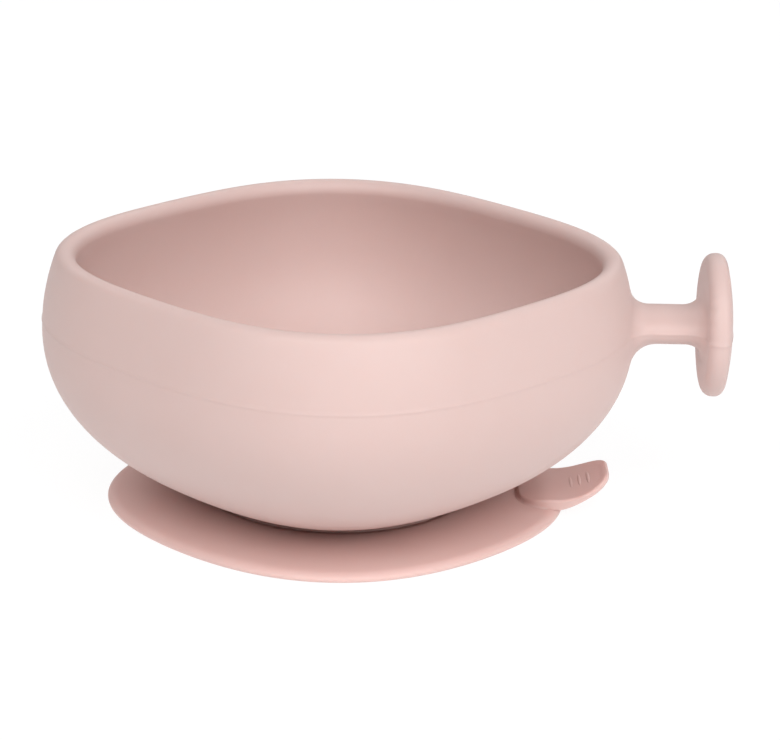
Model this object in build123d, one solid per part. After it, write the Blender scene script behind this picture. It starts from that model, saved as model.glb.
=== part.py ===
from build123d import *
import os
from math import cos, isclose, pi, radians, sin, sqrt

# A silicone suction bowl for feeding a small child: a rounded-diamond bowl with a T-shaped side handle,
# on a broad, flat suction cup with a tab that peels the cup off the table.
# Millimetres, +Z up. The origin is on the table, under the middle of the bowl. The handle points along +X.
# "Radius" of a rounded diamond is its reach to a corner; the corners point along X and Y.

# ---------------------------------------------------------------- driving dimensions
# bowl
GIRTH_RADIUS = 65.0        # reach at the widest level of the bowl
GIRTH_HEIGHT = 40.0        # height of that level
BELLY_BOTTOM = 0.2         # height where the superellipse of the belly would close on the axis
BELLY_POWER = 2.12         # 2 is an ellipse, more is boxier
RIM_RISE = 17.5            # top of the rim, above the girth
RIM_SET_IN = 5.2           # how far the middle of the rim stands inside the girth
RIM_ROUND = 2.35           # radius of the full-round rim
RIM_LEAN = 20.0            # how far the wall leans in where it meets the rim, in degrees
RIM_CREST = 0.04           # the rim's very top is left flat by this much
WALL = 4.4                 # side wall at the girth
FLOOR = 4.5                # floor thickness over the neck
FLOOR_ROUND = 9.0          # fillet between the inner wall and the flat floor
FOOT_HEIGHT = 4.8          # underside of the bowl
CORNER_LOW = 0.033         # how far the plan departs from a circle, at the table
CORNER_RISE = 0.015        # and how much that grows up to the rim

# handle
HANDLE_RISE = 2.0          # the handle's axis, above the girth, on the mould's parting plane
STEM_HALF_WIDTH = 8.0      # oval stem, along Y
STEM_HALF_HEIGHT = 3.9     # oval stem, along Z
STEM_ROOT_FLARE = 6.0      # radius that joins the stem to the bowl
ROOT_SET_BACK_Y = 3.5      # the wall falls back this far beside the stem
ROOT_SET_BACK_Z = 2.0      # and this far above and below it
ROOT_DEPTH = 1.2           # the shaped part of the stem starts this far inside the girth
STEM_END_FLARE = 4.0       # radius that joins the stem to the grip
FINGER_GAP = 15.0          # from the bowl's girth to the grip's inner face
GRIP_RADIUS = 15.8         # round grip disc
GRIP_EDGE = 4.4            # thickness of the disc at its edge
GRIP_CROWN = 2.1           # how far the outer face is domed beyond the edge
GRIP_INNER_ROUND = 2.4     # rounding of the disc's edge on the bowl's side
GRIP_OUTER_ROUND = 1.9     # rounding of the disc's edge on the outer side
GRIP_SINK = 0.4            # the flare at the grip would reach full size this far inside the disc

# suction cup
CUP_RADIUS = 50.8          # reach of the cup's edge
CUP_CORNER = 0.026         # its departure from a circle
CUP_EDGE = 1.9             # thickness at the edge
CUP_EDGE_ROUND = 0.85      # rounding of that edge
CUP_RISE = 1.0             # how much higher the top face is at the web
CROWN_SET_IN = 0.1         # the rise starts this far inside the rounded edge
SEAL_WIDTH = 6.5           # width of the flat ring that lies on the table
HOLLOW = 1.1               # height of the hollow under the cup, at the web
NECK_RADIUS = 24.0         # solid neck between the cup and the bowl
NECK_BOTTOM = 2.2          # underside of the neck, at the middle of the cup
WEB_WIDTH = 5.0            # flexible ring that lets the neck press down into the cup
WEB_RISE = 0.9             # how much higher the web's top is at the neck than at the skirt

# release tab
PEEL_SET_IN = 10.8         # the cup bends this far inside its edge when the tab is lifted
PEEL_GAP = 0.3             # slit that stands for the bend
TAB_SET_OUT = 0.6          # from the line of the bend to the inner end of the tab's pad
TAB_OVERHANG = 10.0        # how far the tab reaches beyond the cup
TAB_HALF_WIDTH = 10.5      # half width, near the cup's edge
TAB_TIP_HALF_WIDTH = 9.6   # half width, near the tip
TAB_STEP = 2.1             # top of the pad, above the cup's edge
TAB_THICKNESS = 2.0        # thickness of the free part
TAB_CURL_SET_IN = 2.3      # from here, inside the cup's edge, the tab sweeps upwards
TAB_CURL = 0.028           # height gained per square millimetre of reach
TAB_CORNER = 5.0           # corner radius at the tip
TAB_INNER_CORNER = 7.0     # corner radius at the inner end
RIDGE_COUNT = 3            # plain grip ridges across the tab
RIDGE_PITCH = 1.9
RIDGE_SET_BACK = 4.4       # from the tip to the first ridge
RIDGE_HALF_LENGTH = 4.6
RIDGE_RADIUS = 0.5
RIDGE_PROUD = 0.25

# how finely the free-form faces are laid
SECTION_POINTS = 32        # points on each rounded-diamond section
WALL_SECTIONS = 9
WALL_EASE = 1.5            # over 1 puts the wall's sections closer together near the foot
RIM_SECTIONS = 8
RIM_EASE = 1.6             # over 1 puts the rim's sections closer together near its top
STEM_SPANS = 12
OVERSHOOT = 5.0            # cutting and trimming shapes run this far past what they cut

# ---------------------------------------------------------------- sizes that follow from them
RIM_HEIGHT = GIRTH_HEIGHT + RIM_RISE
RIM_REACH = GIRTH_RADIUS - RIM_SET_IN
BELLY_DEPTH = GIRTH_HEIGHT - BELLY_BOTTOM
HANDLE_HEIGHT = GIRTH_HEIGHT + HANDLE_RISE
GRIP_FACE = GIRTH_RADIUS + FINGER_GAP
CUP_TOP = CUP_EDGE + CUP_RISE
WEB_OUT = NECK_RADIUS + WEB_WIDTH
PEEL_LINE = CUP_RADIUS - PEEL_SET_IN
TAB_START = PEEL_LINE + TAB_SET_OUT
TAB_REACH = CUP_RADIUS + TAB_OVERHANG
TAB_TOP = CUP_EDGE + TAB_STEP
TAB_CURL_START = CUP_RADIUS - TAB_CURL_SET_IN


# ---------------------------------------------------------------- sections and profiles
def corner_share(z):
    """Departure from a circle at a height: rounder at the foot, more of a diamond at the rim."""
    return CORNER_LOW + CORNER_RISE * (z / RIM_HEIGHT) ** 2


def diamond(reach, share, z):
    """Rounded-diamond face at height z, with its corners on the X and Y axes."""
    points = []
    for i in range(SECTION_POINTS):
        angle = 2 * pi * i / SECTION_POINTS
        radius = reach * (1 + share * cos(4 * angle)) / (1 + share)
        points.append((radius * cos(angle), radius * sin(angle), z))
    return Face(Wire(Edge.make_spline([Vector(*p) for p in points], periodic=True)))


def belly(reach, depth, z):
    """Reach of a superellipse that is widest at the girth, at a height below the girth."""
    drop = (GIRTH_HEIGHT - z) / depth
    return reach * (1 - drop ** BELLY_POWER) ** (1 / BELLY_POWER)


RIM_MIDDLE = RIM_HEIGHT - RIM_ROUND
OUTER_TANGENT = RIM_MIDDLE + RIM_ROUND * sin(radians(RIM_LEAN))
INNER_TANGENT = RIM_MIDDLE - RIM_ROUND * sin(radians(RIM_LEAN))
OUTER_TANGENT_REACH = RIM_REACH + RIM_ROUND * cos(radians(RIM_LEAN))
INNER_TANGENT_REACH = RIM_REACH - RIM_ROUND * cos(radians(RIM_LEAN))


def outer_reach(z):
    """Reach of the bowl's outer face, from the foot to where the rim's round begins."""
    if z <= GIRTH_HEIGHT:
        return belly(GIRTH_RADIUS, BELLY_DEPTH, z)
    climb = (z - GIRTH_HEIGHT) / (OUTER_TANGENT - GIRTH_HEIGHT)
    return GIRTH_RADIUS - (GIRTH_RADIUS - OUTER_TANGENT_REACH) * climb ** 2


def inner_reach(z):
    """Reach of the bowl's inner face, from the floor to where the rim's round begins."""
    if z <= GIRTH_HEIGHT:
        return belly(GIRTH_RADIUS - WALL, BELLY_DEPTH - WALL, z)
    climb = (z - GIRTH_HEIGHT) / (INNER_TANGENT - GIRTH_HEIGHT)
    return GIRTH_RADIUS - WALL - (GIRTH_RADIUS - WALL - INNER_TANGENT_REACH) * climb ** 2


def rim_reach(z, side):
    """Reach of the rim's round at a height; side is 1 outside and -1 inside."""
    return RIM_REACH + side * sqrt(RIM_ROUND ** 2 - (z - RIM_MIDDLE) ** 2)


def levels(low, high, count, ease):
    """Section heights from low to high. An ease over 1 puts them closer together near low."""
    return [low + (high - low) * (i / (count - 1)) ** ease for i in range(count)]


def stack(reach, heights):
    """Solid through the rounded diamonds at these heights."""
    return loft([diamond(reach(z), corner_share(z), z) for z in heights])


# ---------------------------------------------------------------- bowl
def bowl_outer():
    """The bowl with no inside."""
    wall = stack(outer_reach, levels(FOOT_HEIGHT, OUTER_TANGENT, WALL_SECTIONS, WALL_EASE))
    crest = levels(RIM_HEIGHT - RIM_CREST, OUTER_TANGENT, RIM_SECTIONS, RIM_EASE)
    rim = stack(lambda z: rim_reach(z, 1), crest[::-1])
    return wall + rim


def bowl_inside():
    """The space that holds the food, carried up to the rim's top."""
    cavity = stack(inner_reach, levels(FOOT_HEIGHT + FLOOR, INNER_TANGENT, WALL_SECTIONS, WALL_EASE))
    cavity = fillet(cavity.edges().sort_by(Axis.Z)[:1], FLOOR_ROUND)
    crest = levels(RIM_HEIGHT - RIM_CREST, INNER_TANGENT, RIM_SECTIONS, RIM_EASE)
    return cavity + stack(lambda z: rim_reach(z, -1), crest[::-1])


def bowl_shell():
    """Wall, floor and full-round rim, as moulded."""
    return bowl_outer() - bowl_inside()


# ---------------------------------------------------------------- handle
def flare(distance, radius):
    """How much a round fillet adds to the stem at a distance from the face that it joins."""
    if distance >= radius:
        return 0.0
    return radius - sqrt(radius ** 2 - (radius - max(distance, 0.0)) ** 2)


def stem_section(x):
    """Oval across the stem at x, grown by the fillets at both ends."""
    from_wall = x - GIRTH_RADIUS
    at_grip = flare(GRIP_FACE + GRIP_SINK - x, STEM_END_FLARE)
    wider = max(flare(from_wall + ROOT_SET_BACK_Y, STEM_ROOT_FLARE), at_grip)
    taller = max(flare(from_wall + ROOT_SET_BACK_Z, STEM_ROOT_FLARE), at_grip)
    across = Plane(origin=(x, 0, HANDLE_HEIGHT), x_dir=(0, 1, 0), z_dir=(1, 0, 0))
    return across * Ellipse(STEM_HALF_WIDTH + wider, STEM_HALF_HEIGHT + taller)


def grip_disc():
    """Round grip: flat inner face, domed outer face, rounded edge."""
    edge_face = GRIP_FACE + GRIP_EDGE
    apex = edge_face + GRIP_CROWN
    dome_radius = (GRIP_RADIUS ** 2 + GRIP_CROWN ** 2) / (2 * GRIP_CROWN)
    halfway = apex - dome_radius + sqrt(dome_radius ** 2 - (GRIP_RADIUS / 2) ** 2)
    outline = Polyline((GRIP_FACE, 0), (GRIP_FACE, GRIP_RADIUS), (edge_face, GRIP_RADIUS))
    dome = ThreePointArc((edge_face, GRIP_RADIUS), (halfway, GRIP_RADIUS / 2), (apex, 0))
    half = make_face([outline, dome, Line((apex, 0), (GRIP_FACE, 0))])
    disc = revolve(Plane.XZ * half, Axis.X)
    for place, radius in ((0, GRIP_INNER_ROUND), (-1, GRIP_OUTER_ROUND)):
        rounds = disc.edges().filter_by(GeomType.CIRCLE)
        rims = [edge for edge in rounds.sort_by(Axis.X) if isclose(edge.radius, GRIP_RADIUS)]
        disc = fillet(rims[place], radius)
    return Pos(0, 0, HANDLE_HEIGHT) * disc


def handle_stem(outside):
    """Oval stem with a flare at each end, cut to the bowl's wall."""
    root = GIRTH_RADIUS - ROOT_DEPTH
    shares = [(1 - cos(pi * i / STEM_SPANS)) / 2 for i in range(STEM_SPANS + 1)]
    stations = [root + (GRIP_FACE - root) * share for share in shares]
    stem = loft([stem_section(x) for x in stations])
    buried = extrude(Pos(-2 * WALL, 0, 0) * stem_section(root), 2 * WALL)
    return (stem + buried) - outside


# ---------------------------------------------------------------- suction cup
def cup_blank():
    """The cup's skirt with no tab cut: a low cone with a flat seal ring under its edge."""
    edge = diamond(CUP_RADIUS, CUP_CORNER, 0)
    lower = extrude(edge, CUP_EDGE)
    lower = fillet(lower.edges(), CUP_EDGE_ROUND)
    crown_base = diamond(CUP_RADIUS - CUP_EDGE_ROUND - CROWN_SET_IN, CUP_CORNER, CUP_EDGE)
    crown_top = Pos(0, 0, CUP_TOP) * Circle(WEB_OUT)
    skirt = lower + loft([crown_base, crown_top])
    seal_inner = CUP_RADIUS - SEAL_WIDTH
    hollow = Pos(0, 0, HOLLOW / 2) * Cone(seal_inner, WEB_OUT, HOLLOW)
    hole = Cylinder(WEB_OUT, 2 * CUP_TOP + OVERSHOOT)
    return skirt - hollow - hole


def cup_web():
    """Thin sloping ring between the neck and the skirt, which flexes when the bowl is pressed down."""
    section = make_face(Polyline(
        (NECK_RADIUS, NECK_BOTTOM),
        (WEB_OUT, HOLLOW),
        (WEB_OUT, CUP_TOP),
        (NECK_RADIUS, CUP_TOP + WEB_RISE),
        close=True,
    ))
    return revolve(Plane.XZ * section, Axis.Z)


def neck_plug():
    """Solid neck that joins the middle of the cup to the bowl's floor."""
    height = FOOT_HEIGHT - NECK_BOTTOM
    return Pos(0, 0, NECK_BOTTOM + height / 2) * Cylinder(NECK_RADIUS, height)


def beyond_peel_line(start):
    """Everything from x = start outwards."""
    size = 3 * CUP_RADIUS
    return Pos(start + size / 2, 0, 0) * Box(size, size, size)


# ---------------------------------------------------------------- release tab
def tab_height(x):
    """Top of the tab at x: level over the cup, then sweeping up."""
    return TAB_TOP + TAB_CURL * max(0.0, x - TAB_CURL_START) ** 2


def tab_plan():
    """The tab's outline seen from above, with round corners."""
    mid = (TAB_START + TAB_REACH) / 2
    outline = make_face(Polyline(
        (TAB_START, -TAB_HALF_WIDTH),
        (mid, -TAB_HALF_WIDTH),
        (TAB_REACH, -TAB_TIP_HALF_WIDTH),
        (TAB_REACH, TAB_TIP_HALF_WIDTH),
        (mid, TAB_HALF_WIDTH),
        (TAB_START, TAB_HALF_WIDTH),
        close=True,
    ))
    inner = outline.vertices().sort_by(Axis.X)[:2]
    outline = fillet(inner, TAB_INNER_CORNER)
    tip = outline.vertices().sort_by(Axis.X)[-2:]
    return fillet(tip, TAB_CORNER)


def tab_slab():
    """Side view of the tab as a slab of even thickness, spread across its width."""
    halfway = (TAB_CURL_START + TAB_REACH) / 2
    reach = [TAB_START - OVERSHOOT, TAB_CURL_START, halfway, TAB_REACH + OVERSHOOT]
    above = [(x, tab_height(x)) for x in reach]
    below = [(x, tab_height(x) - TAB_THICKNESS) for x in reach]
    ends = [(1, 0), (1, 2 * TAB_CURL * (reach[3] - reach[1]))]
    top = Line(above[0], above[1]) + Spline(*above[1:], tangents=ends)
    low = Line(below[0], below[1]) + Spline(*below[1:], tangents=ends)
    sides = Line(above[0], below[0]) + Line(above[-1], below[-1])
    side_view = make_face([*top.edges(), *low.edges(), *sides.edges()])
    return extrude(Plane.XZ * side_view, TAB_HALF_WIDTH + OVERSHOOT, both=True)


def release_tab(cup):
    """Tab with its pad, resting on the cup's edge, with plain ridges for the finger."""
    column = extrude(tab_plan(), tab_height(TAB_REACH) + OVERSHOOT)
    tab = column & tab_slab()
    for i in range(RIDGE_COUNT):
        x = TAB_REACH - RIDGE_SET_BACK - i * RIDGE_PITCH
        z = tab_height(x) + RIDGE_PROUD - RIDGE_RADIUS
        bar = Rot(90, 0, 0) * Cylinder(RIDGE_RADIUS, 2 * RIDGE_HALF_LENGTH)
        tab = tab + Pos(x, 0, z) * bar
    return tab - cup


# ---------------------------------------------------------------- build
os.makedirs("parts", exist_ok=True)

outside = bowl_outer()
grip = grip_disc()
cup = cup_blank()
nodes = {
    "bowl_shell": bowl_shell(),
    "handle_stem": handle_stem(outside),
    "handle_grip": grip,
    "neck_plug": neck_plug(),
    "cup_web": cup_web(),
    "suction_skirt": cup - beyond_peel_line(PEEL_LINE - PEEL_GAP),
    "peel_edge": cup & beyond_peel_line(PEEL_LINE),
    "release_tab": release_tab(cup),
}
for name, solid in nodes.items():
    print(name, round(solid.volume, 1), solid.bounding_box(), len(solid.solids()), "solids")
    export_step(solid, f"parts/{name}.step")
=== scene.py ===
# %% [markdown]
# # A silicone suction bowl
#
# The object is two soft mouldings: a rounded-diamond bowl with a T-shaped handle, and a thin suction cup with
# a release tab. Silicone has no hard edges anywhere, so every form here is a smooth sheet of quads whose
# roundings are part of the shape. This lesson builds the forms one by one around the engineering model, gives
# them a matte silicone finish in two close tones, and lights them softly.
#
# The engineering model is loaded first. It fixes every size and place, and nothing below moves it.

# %% Load the engineering model
import math

import bmesh
import bpy
from mathutils import Matrix, Vector


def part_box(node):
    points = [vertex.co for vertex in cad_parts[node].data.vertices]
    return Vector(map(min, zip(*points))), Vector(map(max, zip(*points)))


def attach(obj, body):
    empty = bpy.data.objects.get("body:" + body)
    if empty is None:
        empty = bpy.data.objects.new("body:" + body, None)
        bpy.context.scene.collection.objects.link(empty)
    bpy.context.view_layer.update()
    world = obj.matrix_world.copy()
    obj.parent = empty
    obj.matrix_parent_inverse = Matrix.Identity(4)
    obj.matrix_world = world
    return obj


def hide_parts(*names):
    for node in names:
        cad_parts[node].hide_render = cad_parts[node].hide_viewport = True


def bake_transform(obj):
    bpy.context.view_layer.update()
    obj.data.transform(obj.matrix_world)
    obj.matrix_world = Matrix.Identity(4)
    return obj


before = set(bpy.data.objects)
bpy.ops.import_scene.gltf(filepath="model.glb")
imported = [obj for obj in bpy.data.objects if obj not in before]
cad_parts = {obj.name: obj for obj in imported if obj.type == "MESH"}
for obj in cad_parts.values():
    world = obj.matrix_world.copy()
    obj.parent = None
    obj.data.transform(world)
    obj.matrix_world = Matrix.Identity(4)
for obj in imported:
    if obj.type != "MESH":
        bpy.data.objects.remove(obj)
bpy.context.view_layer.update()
MM = 0.001

# %% [markdown]
# ## The camera
#
# A product picture is taken from far away with a long lens, which keeps the bowl's proportions true. The
# camera is placed on an arc round a point just beside the bowl's middle, a little above the table, and it
# leans by about one degree. A camera looks along its own -Z, so its matrix is built from three directions:
# right, up and back.

# %% Place the camera
DISTANCE = 685.0 * MM
ELEVATION = math.radians(18.541)
AZIMUTH = math.radians(-1.039)
ROLL = math.radians(1.335)
LOOK_AT = Vector((11.54, 0.0, 30.17)) * MM
LENS = 143.08
SENSOR_WIDTH = 36.0
NEAREST_SEEN = 10.0 * MM


def aim_camera():
    """A long lens that looks at LOOK_AT from DISTANCE away, turned by the roll."""
    back = Vector((
        math.sin(AZIMUTH) * math.cos(ELEVATION),
        -math.cos(AZIMUTH) * math.cos(ELEVATION),
        math.sin(ELEVATION),
    ))
    level = (-back).cross(Vector((0, 0, 1))).normalized()
    above = level.cross(-back)
    right = math.cos(ROLL) * level + math.sin(ROLL) * above
    up = math.cos(ROLL) * above - math.sin(ROLL) * level
    data = bpy.data.cameras.new("camera")
    data.lens = LENS
    data.sensor_width = SENSOR_WIDTH
    data.clip_start = NEAREST_SEEN
    camera = bpy.data.objects.new("camera", data)
    turn = Matrix((right, up, back)).transposed().to_4x4()
    camera.matrix_world = Matrix.Translation(LOOK_AT + back * DISTANCE) @ turn
    bpy.context.scene.collection.objects.link(camera)
    bpy.context.scene.camera = camera


aim_camera()
print("camera, mm away:", round(DISTANCE / MM), "lens:", LENS)

# %% [markdown]
# ## The rounded diamond
#
# Seen from above the bowl is neither round nor square: its reach swells towards four soft corners, on the X
# and Y axes, and dips between them. One cosine with four waves says that exactly. So every round piece can be
# made the easy way, by spinning an outline about the upright axis, and then each point is drawn in by this
# one factor. The bowl is a stronger diamond at the rim than at the foot.

# %% The factor that turns a circle into a rounded diamond
shell_low, shell_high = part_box("bowl_shell")
ROOM_FOR_LINE = 0.1 * MM
GIRTH = shell_high.x - ROOM_FOR_LINE
RIM_TOP = shell_high.z
FOOT = shell_low.z
SHARE_AT_FOOT = 0.033
SHARE_GAINED = 0.015
ON_AXIS = 1e-7
print("bowl, mm: girth", round(GIRTH / MM, 2), "rim top", round(RIM_TOP / MM, 2), "foot", round(FOOT / MM, 2))


def corner_share(z):
    """How strongly the plan is a diamond at a height."""
    return SHARE_AT_FOOT + SHARE_GAINED * (z / RIM_TOP) ** 2


def diamond(angle, share):
    """Reach at an angle, as a share of the reach at a corner."""
    return (1 + share * math.cos(4 * angle)) / (1 + share)


def draw_in(bm, share_at):
    """Turns a spun form into a rounded diamond; share_at gives its strength at a radius and height."""
    for vert in bm.verts:
        radius = math.hypot(vert.co.x, vert.co.y)
        if radius > ON_AXIS:
            factor = diamond(math.atan2(vert.co.y, vert.co.x), share_at(radius, vert.co.z))
            vert.co.x *= factor
            vert.co.y *= factor


# %% [markdown]
# ## Spinning an outline
#
# An outline is a row of points in the XZ plane, joined by edges. bmesh's spin operator carries it round the
# axis, and use_merge closes the last step onto the first. Points on the axis collapse to one pole. Spin can
# leave faces pointing inwards, so the normals are recalculated once the doubles are merged.

# %% Spin an outline into a closed form
UP_AXIS = (0, 0, 1)
SAME_POINT = 1e-6


def spin_outline(outline, steps, centre=(0, 0, 0), axis=UP_AXIS):
    """A closed form from an outline of (x, z) points, spun a full turn."""
    bm = bmesh.new()
    verts = [bm.verts.new((x, 0, z)) for x, z in outline]
    edges = [bm.edges.new(pair) for pair in zip(verts, verts[1:])]
    bmesh.ops.spin(
        bm, geom=verts + edges, cent=centre, axis=axis, angle=2 * math.pi,
        steps=steps, use_merge=True, use_duplicate=False,
    )
    bmesh.ops.remove_doubles(bm, verts=bm.verts, dist=SAME_POINT)
    bmesh.ops.recalc_face_normals(bm, faces=bm.faces)
    return bm


def make_piece(bm, name):
    """Turns a finished bmesh into a smooth-shaded object."""
    mesh = bpy.data.meshes.new(name)
    bm.to_mesh(mesh)
    bm.free()
    for face in mesh.polygons:
        face.use_smooth = True
    piece = bpy.data.objects.new(name, mesh)
    bpy.context.scene.collection.objects.link(piece)
    print(f"{name}: {len(mesh.vertices)} points, {len(mesh.polygons)} faces")
    return piece


def arc(centre, radius, start, stop, count):
    """Points on a circular arc, angles in degrees."""
    turns = [math.radians(start + (stop - start) * i / (count - 1)) for i in range(count)]
    return [(centre[0] + radius * math.cos(t), centre[1] + radius * math.sin(t)) for t in turns]


def straight(start, stop, count):
    """Points between two ends, without the ends."""
    shares = [i / (count + 1) for i in range(1, count + 1)]
    return [(start[0] + (stop[0] - start[0]) * s, start[1] + (stop[1] - start[1]) * s) for s in shares]


# %% [markdown]
# ## The bowl's outline
#
# Below its widest level the belly is a superellipse: fuller than an ellipse, flatter underneath. Above it the
# wall leans in along a parabola and ends in a full round rim. The inner face is the same curve, one wall
# thickness in, and it meets a flat floor with a wide fillet.

# %% Sizes of the bowl
GIRTH_HEIGHT = 40.0 * MM
BELLY_DEPTH = 39.8 * MM
BELLY_POWER = 2.12
WALL = 4.4 * MM
FLOOR = 4.5 * MM
FLOOR_ROUND = 9.0 * MM
FOOT_ROUND = 1.2 * MM
RIM_REACH = 59.8 * MM
RIM_ROUND = 2.35 * MM
RIM_LEAN = 20.0
RIM_MIDDLE = RIM_TOP - RIM_ROUND
WALL_SPREAD = 1.35


def belly(reach, depth, z):
    """Reach of the superellipse at a height below the girth."""
    drop = (GIRTH_HEIGHT - z) / depth
    return reach * (1 - drop ** BELLY_POWER) ** (1 / BELLY_POWER)


def rim_tangent(side):
    """(reach, height) where a wall runs into the rim's round; side is 1 outside and -1 inside."""
    lean = math.radians(RIM_LEAN)
    return RIM_REACH + side * RIM_ROUND * math.cos(lean), RIM_MIDDLE + side * RIM_ROUND * math.sin(lean)


def wall_reach(z, side=1):
    """Reach of the outer or the inner wall at a height."""
    thick = 0 if side == 1 else WALL
    if z <= GIRTH_HEIGHT:
        return belly(GIRTH - thick, BELLY_DEPTH - thick, z)
    end_reach, end_height = rim_tangent(side)
    climb = (z - GIRTH_HEIGHT) / (end_height - GIRTH_HEIGHT)
    return GIRTH - thick - (GIRTH - thick - end_reach) * climb ** 2


def wall_points(low, side, count):
    """Points up a wall, evenly spread over its slope, from a height to where the rim begins."""
    high = rim_tangent(side)[1]
    heights = [low + (high - low) * (i / count) ** WALL_SPREAD for i in range(count)]
    return [(wall_reach(z, side), z) for z in heights]


print("wall, mm:", round(WALL / MM, 2), "rim:", round(2 * RIM_ROUND / MM, 2), "floor:", round(FLOOR / MM, 2))


# %% Round a corner of an outline
def fillet_corner(before, corner, after, radius, count):
    """Arc of a radius that rounds a corner between two points."""
    a, c, b = Vector(before), Vector(corner), Vector(after)
    to_a, to_b = (a - c).normalized(), (b - c).normalized()
    half = math.acos(max(-1.0, min(1.0, to_a.dot(to_b)))) / 2
    reach = radius / math.tan(half)
    middle = c + (to_a + to_b).normalized() * (radius / math.sin(half))
    start, stop = c + to_a * reach - middle, c + to_b * reach - middle
    first = math.atan2(start.y, start.x)
    turn = math.remainder(math.atan2(stop.y, stop.x) - first, 2 * math.pi)
    return arc(middle, radius, math.degrees(first), math.degrees(first + turn), count)


# %% Spin the bowl
ROUND_STEPS = 192
OUTSIDE_POINTS, INSIDE_POINTS = 40, 38
FOOT_SLOPE = 2 * MM
FLOOR_SLOPE = 6 * MM
CLEAR_OF_FOOT = 0.9 * MM
CLEAR_OF_FLOOR = 0.6 * MM
INSIDE_LOW = 1 * MM


def wall_point(z, side=1):
    """(reach, height) of the outer or the inner wall."""
    return wall_reach(z, side), z


def bowl_outline():
    """Round the section: under the foot, up the outside, over the rim, down the inside, across the floor."""
    foot = fillet_corner((0, FOOT), wall_point(FOOT), wall_point(FOOT + FOOT_SLOPE), FOOT_ROUND, 4)
    outside = wall_points(foot[-1][1] + CLEAR_OF_FOOT, 1, OUTSIDE_POINTS)
    rim = arc((RIM_REACH, RIM_MIDDLE), RIM_ROUND, RIM_LEAN, 180 + RIM_LEAN, 17)
    floor = FOOT + FLOOR
    above = wall_point(floor + FLOOR_SLOPE, -1)
    round_in = fillet_corner(above, wall_point(floor, -1), (0, floor), FLOOR_ROUND, 9)
    inside = wall_points(floor + INSIDE_LOW, -1, INSIDE_POINTS)[::-1]
    inside = [p for p in inside if p[1] > round_in[0][1] + CLEAR_OF_FLOOR]
    under = straight((0, FOOT), foot[0], 6)
    middle = straight(round_in[-1], (0, floor), 7)
    return [(0, FOOT), *under, *foot, *outside, *rim, *inside, *round_in, *middle, (0, floor)]


bowl = spin_outline(bowl_outline(), ROUND_STEPS)
draw_in(bowl, lambda radius, z: corner_share(z))

# %% [markdown]
# ## The parting line
#
# The mould opens at a level plane just above the girth, and silicone that creeps into that joint leaves a
# hair-thin raised line. It runs round the bowl, along the stem and over the grip. To model it, the mesh is
# cut along three close level planes with bisect_plane, and the middle cut is pushed out along its normals.

# %% Raise the parting line
grip_low, grip_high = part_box("handle_grip")
PARTING = (grip_low.z + grip_high.z) / 2
FLASH_HALF_WIDTH = 0.22 * MM
FLASH_PROUD = 0.13 * MM
CUT_TOLERANCE = 1e-7
OUTSIDE_SHARE = 0.85


def raise_parting_line(bm, belongs):
    """Cuts three level loops round a form and pushes the middle one out where belongs(vert) is true."""
    for offset in (-FLASH_HALF_WIDTH, 0.0, FLASH_HALF_WIDTH):
        geometry = bm.verts[:] + bm.edges[:] + bm.faces[:]
        level = (0, 0, PARTING + offset)
        bmesh.ops.bisect_plane(bm, geom=geometry, dist=CUT_TOLERANCE, plane_co=level, plane_no=UP_AXIS)
    bm.normal_update()
    line = [v for v in bm.verts if abs(v.co.z - PARTING) < SAME_POINT and belongs(v)]
    pushes = [(v, v.normal.copy()) for v in line]
    for vert, normal in pushes:
        vert.co += Vector((normal.x, normal.y, 0)) * FLASH_PROUD
    print("parting line points:", len(line))


def on_outside(vert):
    """True on the outer face of the bowl, where the normal points away from the middle."""
    return vert.co.xy.length > OUTSIDE_SHARE * GIRTH and vert.normal.xy.dot(vert.co.xy) > 0


raise_parting_line(bowl, on_outside)
bowl_shell = make_piece(bowl, "bowl_shell")

# %% [markdown]
# ## The stem
#
# The stem is an oval bar that flows into the bowl and into the grip. The two flares are true fillets: at each
# place round the oval, an arc is laid that touches the bar on one side and the bowl's curved wall on the
# other, where its centre is found by halving an interval. The rings come from one circle that is extruded
# step by step, and each ring is then set onto those arcs. At each end a narrow landing lies along the face
# that the flare meets, so that the shading runs on without a crease, and a last ring runs on inside.

# %% Find the bowl's wall beside the stem
GRIP_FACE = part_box("handle_stem")[1].x
STEM_HALF_WIDTH = 8.0 * MM
STEM_HALF_HEIGHT = 3.9 * MM
ROOT_ROUND = 5.6 * MM
ROOT_ROUND_SLANT = 0.9 * MM
SLOPE_STEP = 0.05 * MM
WALL_PASSES = 6
HALVINGS = 40


def wall_x(y, z):
    """How far out along X the bowl's outer face is, beside the handle."""
    reach, share, x = wall_reach(z), corner_share(z), GIRTH
    for _ in range(WALL_PASSES):
        radius = reach * diamond(math.atan2(y, x), share)
        x = math.sqrt(radius ** 2 - y ** 2)
    return x


def root_arc(turn, bar):
    """Centre and touching point of the fillet between the bar and the wall, in the plane at a turn."""
    side, rise = math.cos(turn), math.sin(turn)
    radius = ROOT_ROUND - ROOT_ROUND_SLANT * rise

    def wall(out):
        return wall_x(out * side, PARTING + out * rise)

    low, high = bar, bar + 2 * radius
    for _ in range(HALVINGS):
        out = (low + high) / 2
        slope = (wall(out + SLOPE_STEP) - wall(out - SLOPE_STEP)) / (2 * SLOPE_STEP)
        normal = Vector((1, -slope)).normalized()
        if out + radius * normal.y > bar + radius:
            high = out
        else:
            low = out
    touch = Vector((wall(out), out))
    return touch + normal * radius, touch, radius


print("grip's inner face at x, mm:", round(GRIP_FACE / MM, 2))

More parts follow.
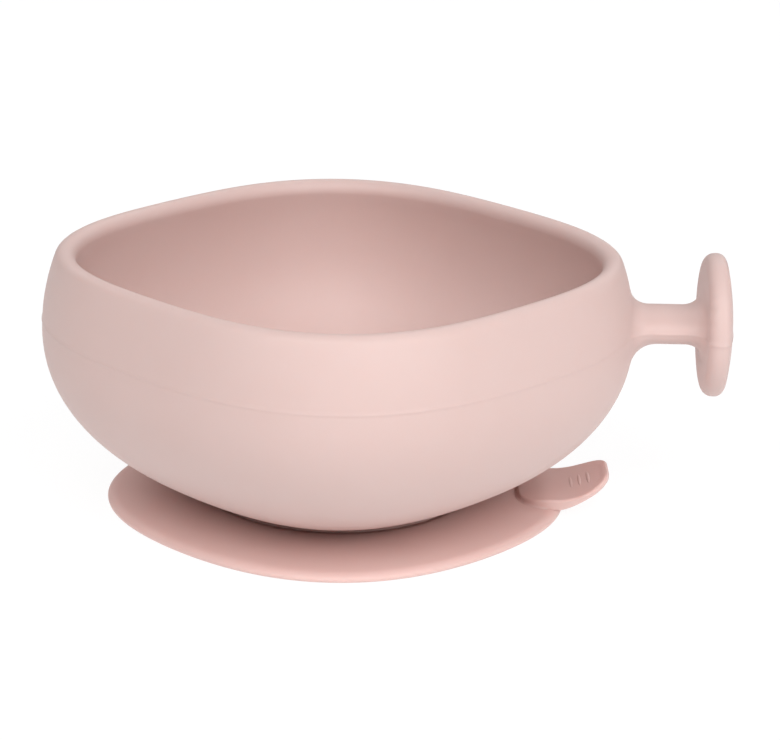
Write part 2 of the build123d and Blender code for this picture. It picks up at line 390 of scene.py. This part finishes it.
# %% Lay the stem's rings
STEM_STEPS = 72
ROOT_RINGS, BAR_RINGS, GRIP_RINGS = 12, 8, 9
GRIP_FLARE = 4.0 * MM
LANDING = 0.2 * MM
LANDING_ENDS = (1.0, 1.1)
PROUD = 0.02 * MM
RUN_INTO_WALL = 1.5 * MM
RUN_INTO_GRIP = 1.0 * MM


def stem_profile(turn):
    """(x, distance from the axis) of each ring at a turn round the stem, from bowl to grip."""
    side, rise = math.cos(turn), math.sin(turn)
    bar = 1 / math.hypot(side / STEM_HALF_WIDTH, rise / STEM_HALF_HEIGHT)
    centre, touch, radius = root_arc(turn, bar)
    start = math.degrees(math.atan2(touch.y - centre.y, touch.x - centre.x))
    root = arc(centre, radius, start % 360, 270, ROOT_RINGS)
    grip = arc((GRIP_FACE - GRIP_FLARE, bar + GRIP_FLARE), GRIP_FLARE, 270, 360, GRIP_RINGS)
    on_wall = []
    for step in reversed(LANDING_ENDS):
        out = touch.y + step * LANDING
        on_wall.append((wall_x(out * side, PARTING + out * rise) + PROUD, out))
    on_grip = [(GRIP_FACE - PROUD, grip[-1][1] + step * LANDING) for step in LANDING_ENDS]
    root, grip = [(x + PROUD, out) for x, out in root], [(x - PROUD, out) for x, out in grip]
    into_wall = (on_wall[0][0] - RUN_INTO_WALL, on_wall[0][1])
    into_grip = (GRIP_FACE + RUN_INTO_GRIP, on_grip[-1][1])
    bar_rings = straight(root[-1], grip[0], BAR_RINGS)
    return [into_wall, *on_wall, *root, *bar_rings, *grip, *on_grip, into_grip]


def lay_rings(bm, rings):
    """Sets a circle onto the first ring and extrudes it onto each of the others."""
    bmesh.ops.create_circle(bm, cap_ends=False, segments=len(rings[0]), radius=1)
    verts, edges = bm.verts[:], bm.edges[:]
    order = {v: i for i, v in enumerate(verts)}
    for level, ring in enumerate(rings):
        if level:
            grown = bmesh.ops.extrude_edge_only(bm, edges=edges)["geom"]
            fresh = [g for g in grown if isinstance(g, bmesh.types.BMVert)]
            edges = [g for g in grown if isinstance(g, bmesh.types.BMEdge) and len(g.link_faces) == 1]
            edges = [e for e in edges if all(v in fresh for v in e.verts)]
            near = {v: [e.other_vert(v) for e in v.link_edges] for v in fresh}
            order = {v: next(order[other] for other in near[v] if other in order) for v in fresh}
        for vert, i in order.items():
            vert.co = ring[i]


def close_ends(bm):
    """Fills the open ring at each end and turns every face outwards."""
    bmesh.ops.holes_fill(bm, edges=[e for e in bm.edges if len(e.link_faces) == 1], sides=0)
    bmesh.ops.recalc_face_normals(bm, faces=bm.faces)


def build_stem():
    """Every ring of the stem, laid from the profiles at all turns."""
    turns = [2 * math.pi * i / STEM_STEPS for i in range(STEM_STEPS)]
    profiles = [stem_profile(turn) for turn in turns]
    rings = []
    for level in range(len(profiles[0])):
        ring = []
        for turn, profile in zip(turns, profiles):
            x, out = profile[level]
            ring.append((x, out * math.cos(turn), PARTING + out * math.sin(turn)))
        rings.append(ring)
    bm = bmesh.new()
    lay_rings(bm, rings)
    close_ends(bm)
    return bm


stem = build_stem()
raise_parting_line(stem, lambda v: abs(v.co.y) > 0.5 * STEM_HALF_WIDTH)
handle_stem = make_piece(stem, "handle_stem")

# %% [markdown]
# ## The grip
#
# The grip is a disc that stands across the stem: flat on the side that the fingers hook behind, domed on the
# outside, and well rounded at its edge. Its outline is spun about the stem's axis.

# %% Spin the grip
ROOM_AT_TIP = 1.2
GRIP_RADIUS = (grip_high.z - grip_low.z) / 2
GRIP_TIP = grip_high.x - ROOM_AT_TIP * FLASH_PROUD
GRIP_EDGE = 4.4 * MM
GRIP_INNER_ROUND = 2.4 * MM
GRIP_OUTER_ROUND = 1.9 * MM
GRIP_STEPS = 96
CLEAR_OF_ROUND = 0.4 * MM
HIDDEN_REACH = 1 * MM


def grip_outline():
    """(x, height) from the middle of the inner face, over the edge, to the middle of the dome."""
    shoulder = (GRIP_FACE + GRIP_EDGE, GRIP_RADIUS)
    inner = fillet_corner((GRIP_FACE, 0), (GRIP_FACE, GRIP_RADIUS), shoulder, GRIP_INNER_ROUND, 10)
    crown = GRIP_TIP - shoulder[0]
    dome_radius = (GRIP_RADIUS ** 2 + crown ** 2) / (2 * crown)
    dome_centre = (GRIP_TIP - dome_radius, 0.0)
    reach = math.degrees(math.asin(GRIP_RADIUS / dome_radius))
    dome = arc(dome_centre, dome_radius, reach, 0, 14)
    outer = fillet_corner((GRIP_FACE, GRIP_RADIUS), shoulder, dome[2], GRIP_OUTER_ROUND, 10)
    dome = [p for p in dome if p[1] < outer[-1][1] - CLEAR_OF_ROUND]
    flat = straight((GRIP_FACE, 0), inner[0], 7)
    points = [(GRIP_FACE, 0), *flat, *inner, *outer, *dome]
    return [(x, PARTING + out) for x, out in points]


grip = spin_outline(grip_outline(), GRIP_STEPS, centre=(0, 0, PARTING), axis=(1, 0, 0))
raise_parting_line(grip, lambda v: v.co.x > GRIP_FACE + HIDDEN_REACH or abs(v.co.y) > STEM_HALF_WIDTH)
handle_grip = make_piece(grip, "handle_grip")

# %% [markdown]
# ## The neck and the web
#
# Under the belly, where it can hardly be seen, a short neck holds the bowl on the cup. Round it a sloping web
# lets the bowl be pressed down: its high side follows the bowl and its low side stays with the cup.

# %% Spin the neck and the web
neck_low, neck_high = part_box("neck_plug")
web_low, web_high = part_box("cup_web")
skirt_low, skirt_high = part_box("suction_skirt")
NECK = neck_high.x
NECK_STEPS = 128
NECK_LIP = 0.3 * MM
WEB_OUT = web_high.x
SKIRT_TOP = skirt_high.z
neck_section = [
    (0, neck_low.z), *straight((0, neck_low.z), (NECK, neck_low.z), 5), (NECK, neck_low.z),
    (NECK, web_high.z), *arc((NECK + NECK_LIP, web_high.z), NECK_LIP, 180, 90, 4), (NECK, neck_high.z),
    *straight((NECK, neck_high.z), (0, neck_high.z), 3), (0, neck_high.z),
]
neck_plug = make_piece(spin_outline(neck_section, NECK_STEPS), "neck_plug")
web_section = [
    (NECK, neck_low.z), *straight((NECK, neck_low.z), (WEB_OUT, web_low.z), 9), (WEB_OUT, web_low.z),
    (WEB_OUT, SKIRT_TOP), *straight((WEB_OUT, SKIRT_TOP), (NECK, web_high.z), 9), (NECK, web_high.z),
    (NECK, neck_low.z),
]
cup_web = make_piece(spin_outline(web_section, NECK_STEPS), "cup_web")

# %% [markdown]
# ## The suction cup
#
# The cup is a thin, nearly flat cone with a soft edge. Only a ring under its edge lies on the table, and
# inside that ring it is hollow. It is a rounded diamond at its edge and round where it meets the web.

# %% Spin the cup
CUP = -skirt_low.x
CUP_SHARE = 0.026
EDGE_THICK = 1.9 * MM
SHOULDER = Vector((2.6, 1.35)) * MM
TOE = Vector((0.6, 0.55)) * MM
SEAL_WIDTH = 6.5 * MM
SEAL_IN = CUP - SEAL_WIDTH


def quarter(corner, size, across, up, count):
    """Points of a quarter ellipse that rounds a corner; across and up say which way its middle lies."""
    middle = Vector(corner) + Vector((across * size.x, up * size.y))
    turns = [math.pi / 2 * i / (count - 1) for i in range(count)]
    return [(middle.x - across * size.x * math.sin(t), middle.y - up * size.y * math.cos(t)) for t in turns]


def cup_top(reach):
    """Height of the cup's top face: a gentle cone, then the soft shoulder of the edge."""
    flat_end = CUP - SHOULDER.x
    if reach <= flat_end:
        return SKIRT_TOP - (SKIRT_TOP - EDGE_THICK) * max(0.0, reach - WEB_OUT) / (flat_end - WEB_OUT)
    out = min(1.0, (reach - flat_end) / SHOULDER.x)
    return EDGE_THICK - SHOULDER.y + SHOULDER.y * math.sqrt(1 - out ** 2)


def cup_outline():
    """Round the cup's section, from the web out over the top, round the edge and back underneath."""
    shoulder = quarter((CUP, EDGE_THICK), SHOULDER, -1, -1, 14)
    toe = quarter((CUP, 0), TOE, -1, 1, 7)[::-1]
    outward = straight((WEB_OUT, SKIRT_TOP), shoulder[0], 14)
    hollow = straight((SEAL_IN, 0), (WEB_OUT, web_low.z), 7)
    return [
        (WEB_OUT, SKIRT_TOP), *outward, *shoulder, *toe, *straight(toe[-1], (SEAL_IN, 0), 4),
        (SEAL_IN, 0), *hollow, (WEB_OUT, web_low.z), (WEB_OUT, SKIRT_TOP),
    ]


def cup_share(radius, z):
    """The cup is round at the web and a rounded diamond at its edge."""
    return CUP_SHARE * max(0.0, (radius - WEB_OUT) / (CUP - WEB_OUT))


cup = spin_outline(cup_outline(), ROUND_STEPS)
draw_in(cup, cup_share)
suction_skirt = make_piece(cup, "suction_skirt")

# %% [markdown]
# ## The release tab
#
# The tab grows out of the cup's edge and sweeps up like a ski, so that a finger can get under it. Its plan is
# a rectangle, a little narrower at the tip, whose corners are rounded. That outline is walked in even steps,
# and at every step a section is drawn: over the rounded top edge, down the side, and then either out in a
# small fillet onto the cup or round under the free slab. Rings of an extruded circle are set onto those
# sections, as on the stem. The walk starts in the middle of the inner end, so its two sides mirror each
# other, and the last ring on each face shrinks to the tab's middle line, where its points are merged.

# %% Walk the tab's plan
tab_low, tab_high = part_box("release_tab")
TAB_TOP = 4.0 * MM
TAB_HALF_WIDTH = tab_high.y
TAB_TIP_HALF_WIDTH = 9.6 * MM
TAB_CORNERS = {"inner": 7.0 * MM, "side": 40.0 * MM, "tip": 7.5 * MM}
CURL_START = 48.5 * MM
CURL = 0.028 / MM
TAB_SINK = 0.6 * MM
TAB_SINK_END = 46.5 * MM
TAB_STEPS = 132
CORNER_POINTS = 16


def ease(value, start, end):
    """0 before start, 1 after end, and smooth between them."""
    share = min(1.0, max(0.0, (value - start) / (end - start)))
    return share * share * (3 - 2 * share)


def tab_top(x):
    """Top of the tab: a little lower at its inner end, level over the cup, then sweeping up."""
    sunk = TAB_SINK * (1 - ease(x, tab_low.x, TAB_SINK_END))
    return TAB_TOP - sunk + CURL * max(0.0, x - CURL_START) ** 2


def tab_plan():
    """The tab's outline from above, in even steps, with the outward direction at each."""
    middle = (tab_low.x + tab_high.x) / 2
    half = [
        ("inner", (tab_low.x, -TAB_HALF_WIDTH)), ("side", (middle, -TAB_HALF_WIDTH)),
        ("tip", (tab_high.x, -TAB_TIP_HALF_WIDTH)),
    ]
    corners = half + [(kind, (x, -y)) for kind, (x, y) in reversed(half)]
    points = []
    for i, (kind, corner) in enumerate(corners):
        before, after = corners[i - 1][1], corners[(i + 1) % len(corners)][1]
        rounded = fillet_corner(before, corner, after, TAB_CORNERS[kind], CORNER_POINTS)
        points += [Vector(p) for p in rounded]
    start = Vector((tab_low.x, 0))
    points = [start, *points, start]
    lengths = [(b - a).length for a, b in zip(points, points[1:])]
    walk = []
    for step in range(TAB_STEPS):
        left, i = sum(lengths) * step / TAB_STEPS, 0
        while left > lengths[i]:
            left, i = left - lengths[i], i + 1
        walk.append(points[i].lerp(points[i + 1], left / lengths[i]))
    outward = []
    for i, point in enumerate(walk):
        along = (walk[(i + 1) % TAB_STEPS] - walk[i - 1]).normalized()
        outward.append(Vector((along.y, -along.x)))
    return list(zip(walk, outward))


print("tab, mm from the middle:", [round(v / MM, 2) for v in (tab_low.x, tab_high.x)])


# %% Draw a section at every step
TAB_EDGE_ROUND = 0.6 * MM
TAB_LOW_ROUND = 0.45 * MM
FOOT_FILLET = 0.6 * MM
BURIED = 0.5 * MM
UNDER_EDGE = 0.05 * MM
FOOT_POINTS = 8
THICK, THIN_BY = 2.5 * MM, 1.05 * MM
THIN_START, THIN_END = 49.0 * MM, 56.5 * MM
LEAVES_CUP = (CUP - 3.2 * MM, CUP - 1.0 * MM)


def tab_thickness(x):
    """The slab is thickest where it leaves the cup, and thins towards its tip."""
    return THICK - THIN_BY * ease(x, THIN_START, THIN_END)


def cup_reach(point):
    """Distance from the middle, measured as if the cup were round."""
    return point.length / diamond(math.atan2(point.y, point.x), CUP_SHARE)


def tab_section(point, outward):
    """(place, height) of each ring at a step, from the top's rim down and round underneath."""
    over_cup = 1 - ease(cup_reach(point), *LEAVES_CUP)
    top = tab_top(point.x)
    low = top - tab_thickness(point.x)
    section = []
    for x, z in arc((-TAB_EDGE_ROUND, top - TAB_EDGE_ROUND), TAB_EDGE_ROUND, 90, 0, 7):
        section.append((point + outward * x, z))
    for i in range(FOOT_POINTS):
        t = math.pi / 2 * i / (FOOT_POINTS - 1)
        across, down = 1 - math.cos(t), 1 - math.sin(t)
        out = FOOT_FILLET * across
        ground = cup_top(cup_reach(point + outward * out)) + PROUD
        on_cup = Vector((out, ground + FOOT_FILLET * down))
        free = Vector((-TAB_LOW_ROUND * across, low + TAB_LOW_ROUND * down))
        x, z = free.lerp(on_cup, over_cup)
        section.append((point + outward * x, z))
    last, z = section[-1]
    section.append((last - outward * UNDER_EDGE, z - BURIED * over_cup))
    return section


print("tab thickness, mm:", [round(tab_thickness(x) / MM, 2) for x in (tab_low.x, tab_high.x)])


# %% Extrude the tab ring by ring
SPINE_START = tab_low.x + 7 * MM
SPINE_END = tab_high.x - 6 * MM
WELD = 0.005 * MM
TOP_SHARES = (0.0, 0.12, 0.25, 0.4, 0.55, 0.7, 0.85)
LOW_SHARES = (0.8, 0.55, 0.3, 0.0)


def shrink(walk, share, height):
    """A ring inside the plan, drawn towards the tab's middle line."""
    ring = []
    for point, outward in walk:
        spine = min(SPINE_END, max(SPINE_START, point.x))
        x, y = spine + (point.x - spine) * share, point.y * share
        ring.append((x, y, height(x)))
    return ring


def tab_underside(x):
    """Height of the tab's lower face."""
    return tab_top(x) - tab_thickness(x)


def build_tab():
    """The tab from its middle line over the top, down the sections and back to the middle line below."""
    walk = tab_plan()
    inset = [(point - outward * TAB_EDGE_ROUND, outward) for point, outward in walk]
    sections = [tab_section(point, outward) for point, outward in walk]
    rings = [shrink(inset, share, tab_top) for share in TOP_SHARES]
    rings += [[(*section[k][0], section[k][1]) for section in sections] for k in range(len(sections[0]))]
    rings += [shrink(walk, share, tab_underside) for share in LOW_SHARES]
    bm = bmesh.new()
    lay_rings(bm, rings)
    bmesh.ops.remove_doubles(bm, verts=bm.verts, dist=WELD)
    bmesh.ops.recalc_face_normals(bm, faces=bm.faces)
    return bm


release_tab = make_piece(build_tab(), "release_tab")

# %% Lay plain ridges across the tab
RIDGES = 3
RIDGE_PITCH = 1.9 * MM
RIDGE_SET_BACK = 4.4 * MM
RIDGE_SIZE = Vector((0.5, 4.6, 0.4)) * MM
RIDGE_SUNK = 0.26 * MM


def build_ridge(number):
    """One long, low ridge that follows the tab's slope."""
    x = tab_high.x - RIDGE_SET_BACK - number * RIDGE_PITCH
    slope = math.atan(2 * CURL * (x - CURL_START))
    bm = bmesh.new()
    bmesh.ops.create_uvsphere(bm, u_segments=32, v_segments=16, radius=1)
    bmesh.ops.scale(bm, vec=RIDGE_SIZE, verts=bm.verts)
    bmesh.ops.rotate(bm, verts=bm.verts, matrix=Matrix.Rotation(-slope, 3, "Y"))
    bmesh.ops.translate(bm, verts=bm.verts, vec=(x, 0, tab_top(x) - RIDGE_SUNK))
    return make_piece(bm, f"tab_ridge_{number + 1}")


ridges = [build_ridge(n) for n in range(RIDGES)]

# %% [markdown]
# ## Shader maths as plain expressions
#
# A material's pattern is a small sum, and nodes wired by hand are hard to read. This class wraps a socket, so
# that `noise * 0.1 + 0.9` adds the Math nodes by itself.

# %% A socket that can be added and multiplied
class Value:
    """Wraps a socket of a node tree."""

    def __init__(self, tree, socket):
        self.tree, self.socket = tree, socket

    def node(self, kind, settings=None, **inputs):
        """Adds a node, sets its settings, then fills or links its inputs; gives its first output."""
        made = self.tree.nodes.new(kind)
        for key, value in (settings or {}).items():
            setattr(made, key, value)
        for key, value in inputs.items():
            socket = made.inputs[int(key[1:])] if key[0] == "i" and key[1:].isdigit() else made.inputs[key]
            if isinstance(value, Value):
                self.tree.links.new(value.socket, socket)
            else:
                socket.default_value = value
        return Value(self.tree, made.outputs[0])

    def maths(self, operation, a, b):
        return self.node("ShaderNodeMath", {"operation": operation}, i0=a, i1=b)

    def __add__(self, other):
        return self.maths("ADD", self, other)

    def __sub__(self, other):
        return self.maths("SUBTRACT", self, other)

    def __mul__(self, other):
        return self.maths("MULTIPLY", self, other)

    __radd__ = __add__
    __rmul__ = __mul__

    def __rsub__(self, other):
        return self.maths("SUBTRACT", other, self)


# %% [markdown]
# ## Matte silicone
#
# Moulded silicone is soft to the eye: a dull, even skin with a very fine satin grain from the blasted mould,
# and light that goes a little way in before it comes out. So the shader has a high roughness, a little
# subsurface scattering with a short reach, and a trace of sheen. The grain is a bump whose cells are about a
# third of a millimetre wide, and a second, slow noise keeps the colour from being dead flat. The cup is
# moulded by itself from the same silicone, but its copy is lighter and redder than the bowl's: that is
# painted light, standing in for the pink light that the belly bounces down onto the cup.

# %% Mix the silicone
BOWL_TONES = ((0.650, 0.482, 0.452, 1.0), (0.636, 0.460, 0.427, 1.0))
# The cup's tones are the bowl's silicone made lighter and redder: painted bounce light from the belly above
# it.
BASE_TONES_PAINTED_BOUNCE = ((0.735, 0.512, 0.475, 1.0), (0.720, 0.488, 0.450, 1.0))
GRAIN_SCALE, CLOUD_SCALE = 3200.0, 55.0
GRAIN_HEIGHT, GRAIN_STRENGTH = 0.03 * MM, 0.35
TONE_SPREAD, TONE_SHIFT = 1.6, 0.3
ROUGHNESS, CLOUD_ROUGHNESS, GRAIN_ROUGHNESS = 0.50, 0.08, 0.06
CONSTANTS = {
    "Subsurface Weight": 0.2, "Subsurface Radius": (1.0, 0.6, 0.5), "Subsurface Scale": 1.5 * MM,
    "Specular IOR Level": 0.6, "Sheen Weight": 0.03, "Sheen Roughness": 0.5,
}


def silicone(name, tones):
    """Matte silicone between two close tones; the grain follows the object, so it doesn't slide."""
    material = bpy.data.materials.new(name)
    material.use_nodes = True
    tree = material.node_tree
    shader = tree.nodes["Principled BSDF"]
    start = Value(tree, None)
    place = start.node("ShaderNodeTexCoord")
    place = Value(tree, place.socket.node.outputs["Object"])
    solid = {"noise_dimensions": "3D"}
    grain = start.node("ShaderNodeTexNoise", solid, Vector=place, Scale=GRAIN_SCALE, Detail=2.0)
    cloud = start.node("ShaderNodeTexNoise", solid, Vector=place, Scale=CLOUD_SCALE, Detail=3.0)
    tone = start.node("ShaderNodeMix", {"data_type": "RGBA"}, Factor=cloud * TONE_SPREAD - TONE_SHIFT)
    mix = tone.socket.node
    mix.inputs["B"].default_value, mix.inputs["A"].default_value = tones
    tree.links.new(mix.outputs["Result"], shader.inputs["Base Color"])
    rough = cloud * CLOUD_ROUGHNESS + grain * GRAIN_ROUGHNESS + ROUGHNESS
    tree.links.new(rough.socket, shader.inputs["Roughness"])
    bump = start.node("ShaderNodeBump", None, Strength=GRAIN_STRENGTH, Distance=GRAIN_HEIGHT, Height=grain)
    tree.links.new(bump.socket, shader.inputs["Normal"])
    for socket, value in CONSTANTS.items():
        shader.inputs[socket].default_value = value
    print(f"{name}: {len(tree.nodes)} nodes")
    return material


bowl_skin = silicone("bowl_silicone", BOWL_TONES)
# The cup's copy is lighter and redder than the bowl's, which paints in the pink light bounced off the belly.
base_skin_painted_bounce = silicone("base_silicone", BASE_TONES_PAINTED_BOUNCE)

# %% [markdown]
# ## Who moves with whom
#
# The bowl, stem, grip and neck hang from an empty for the bowl body, and the tab and its ridges from one for
# the tab body. The web and the cup are left where they were made, and the engineering parts they replace are
# hidden.

# %% Ride and stand in
BOWL_PIECES = {
    bowl_shell: "bowl_shell", handle_stem: "handle_stem", handle_grip: "handle_grip", neck_plug: "neck_plug",
}
for piece, node in BOWL_PIECES.items():
    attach(piece, "bowl")
    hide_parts(node)
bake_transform(cup_web)
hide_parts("cup_web")
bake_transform(suction_skirt)
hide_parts("suction_skirt", "peel_edge")
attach(release_tab, "tab")
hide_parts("release_tab")
for ridge in ridges:
    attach(ridge, "tab")
# The web, cup, tab and ridges take the lighter, redder copy that paints in the belly's bounce light.
for piece in (cup_web, suction_skirt, release_tab, *ridges):
    piece.data.materials.append(base_skin_painted_bounce)
for piece in BOWL_PIECES:
    piece.data.materials.append(bowl_skin)

# %% [markdown]
# ## The studio
#
# The bowl stands on a glowing white table, as on a light box, so hardly a shadow falls and light comes up
# from below too. Broad square panels stand round it. Three high ones in front give most of the light, a low
# one adds to it on the front right, and two at the back lift the rim and the inside. That leaves the left
# side a little darker and lets the belly round off softly.

# %% Build the table
TABLE_SIZE = 6.0
TABLE_DROP = 0.02 * MM
TABLE_GREY = 0.13
TABLE_GLOW = 0.90


def white_table():
    """A glowing sheet just under the cup."""
    bm = bmesh.new()
    bmesh.ops.create_grid(bm, x_segments=1, y_segments=1, size=TABLE_SIZE)
    bmesh.ops.translate(bm, verts=bm.verts, vec=(0, 0, -TABLE_DROP))
    floor = make_piece(bm, "table")
    material = bpy.data.materials.new("white_table")
    material.use_nodes = True
    shader = material.node_tree.nodes["Principled BSDF"]
    shader.inputs["Base Color"].default_value = (TABLE_GREY, TABLE_GREY, TABLE_GREY, 1.0)
    shader.inputs["Roughness"].default_value = 0.9
    shader.inputs["Specular IOR Level"].default_value = 0.0
    shader.inputs["Emission Color"].default_value = (1.0, 1.0, 1.0, 1.0)
    shader.inputs["Emission Strength"].default_value = TABLE_GLOW
    floor.data.materials.append(material)


white_table()

# %% Stand the panels round the bowl
PANEL_SIZE = 0.9
PANEL_DISTANCE = 1.2
PANELS = [  # name, degrees round from the front, degrees up, watts
    ("front_high", 0, 45, 5.3),
    ("right_low", 40, 15, 4.1),
    ("right_high", 40, 45, 5.2),
    ("left_low", -40, 15, 0.8),
    ("left_high", -40, 45, 5.2),
    ("far_right", 90, 20, 1.1),
    ("far_left", -90, 20, 0.1),
    ("back_right", 150, 40, 3.8),
    ("back_left", -150, 40, 3.2),
]


def stand_panel(name, turn, rise, watts):
    """A square soft panel on a sphere round the bowl, facing it."""
    turn, rise = math.radians(turn), math.radians(rise)
    middle = Vector((0, 0, RIM_TOP / 2))
    away = Vector((math.sin(turn) * math.cos(rise), -math.cos(turn) * math.cos(rise), math.sin(rise)))
    data = bpy.data.lights.new(name, "AREA")
    data.shape = "SQUARE"
    data.size = PANEL_SIZE
    data.energy = watts
    light = bpy.data.objects.new(name, data)
    light.location = middle + away * PANEL_DISTANCE
    light.rotation_mode = "QUATERNION"
    light.rotation_quaternion = away.to_track_quat("Z", "Y")
    bpy.context.scene.collection.objects.link(light)


for row in PANELS:
    stand_panel(*row)
print("panels:", len(PANELS), "watts in all:", round(sum(row[3] for row in PANELS), 1))

# %% Dim the room
ROOM_GLOW = 0.02
world = bpy.data.worlds.new("white_room")
world.use_nodes = True
background = world.node_tree.nodes["Background"]
background.inputs["Color"].default_value = (1.0, 1.0, 1.0, 1.0)
background.inputs["Strength"].default_value = ROOM_GLOW
bpy.context.scene.world = world
bpy.context.scene.view_settings.view_transform = "Standard"
print("room glow:", ROOM_GLOW)
